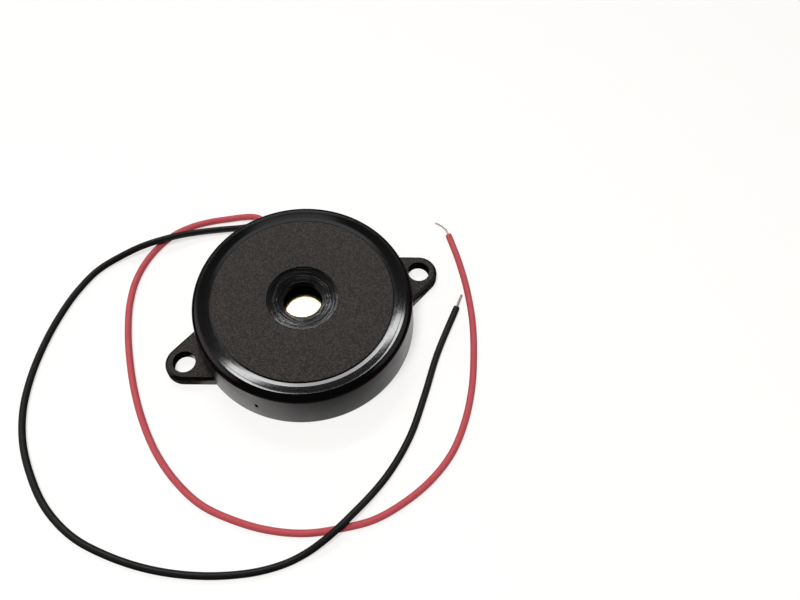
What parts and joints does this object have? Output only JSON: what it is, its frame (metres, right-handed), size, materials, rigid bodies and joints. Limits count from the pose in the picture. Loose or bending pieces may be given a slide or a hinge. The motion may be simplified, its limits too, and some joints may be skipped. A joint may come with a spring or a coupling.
{
  "type": "flange-mount disc buzzer",
  "caption": "Round flat buzzer in a black moulded case, with a sound hole in the front, a screw ear on each side and a red and a black wire lead.",
  "frame": {"origin": "centre of the round case, at its back face", "axes": "+Z through the sound hole towards the front, +X along the line of the two ears, +Y where the leads leave"},
  "size_m": [0.0909, 0.0724, 0.0097],
  "materials": {
    "case_black": "moulded ABS, spark-eroded matt face, polished ring and hub, satin wall",
    "cover_black": "moulded ABS, spark-eroded matt face, polished bevel",
    "brass_sheet": "rolled, bright",
    "silvered_ceramic": "fired silver paste, satin",
    "silicone_adhesive": "cured silicone, semi-gloss",
    "solder": "bright solder",
    "tinned_copper": "tinned strands",
    "lead_red_pvc": "extruded PVC, semi-gloss",
    "lead_black_pvc": "extruded PVC, semi-gloss"
  },
  "bodies": {
    "root": {"front_case": "case_black", "rear_cover": "cover_black", "brass_plate": "brass_sheet", "ceramic_disc": "silvered_ceramic", "plate_adhesive": "silicone_adhesive", "solder_red": "solder", "solder_black": "solder", "conductor_red_inner": "tinned_copper", "conductor_black_inner": "tinned_copper", "lead_red": "lead_red_pvc", "lead_black": "lead_black_pvc", "conductor_red_end": "tinned_copper", "conductor_black_end": "tinned_copper"}
  },
  "joints": []
}
